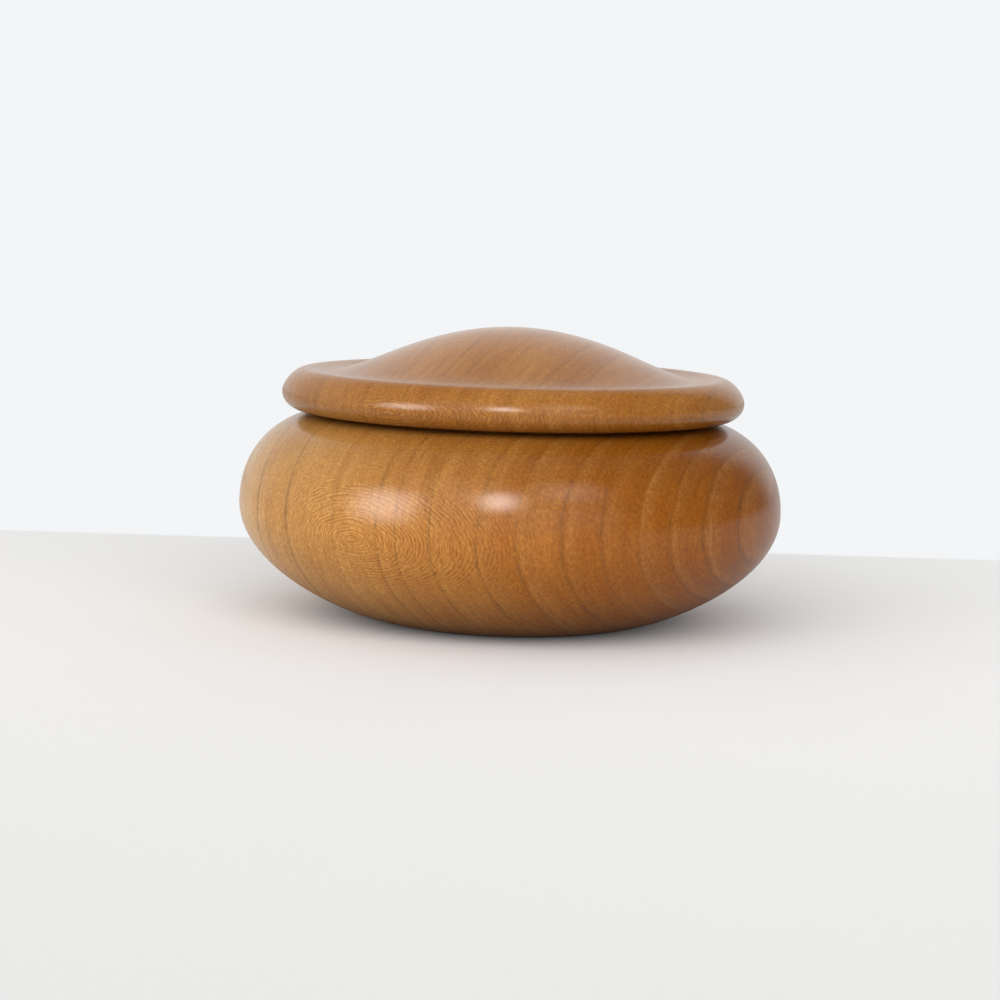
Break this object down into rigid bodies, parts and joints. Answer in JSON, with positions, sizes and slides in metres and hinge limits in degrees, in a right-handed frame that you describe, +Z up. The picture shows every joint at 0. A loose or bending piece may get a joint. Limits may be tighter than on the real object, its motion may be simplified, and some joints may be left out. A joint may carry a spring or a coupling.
{
  "type": "lidded incense box",
  "caption": "Squat round turned wooden incense box, with a lift-off domed lid that has a rolled edge and rests on the flat rim of the bowl.",
  "frame": {"origin": "centre of the foot, on the surface that the box stands on", "axes": "+Z up along the turning axis and through the top of the lid; -Y towards the viewer of the picture and +X to the right"},
  "size_m": [0.078, 0.078, 0.042],
  "materials": {
    "lacquered_wood": "satin clear lacquer over an orange-brown hardwood"
  },
  "bodies": {
    "bowl": {"bowl": "lacquered_wood"},
    "lid": {"lid": "lacquered_wood"}
  },
  "joints": [
    {"name": "lid_lift", "type": "slide", "parent": "bowl", "child": "lid", "axis": [0, 0, 1], "range_m": [0, 0.06]}
  ]
}
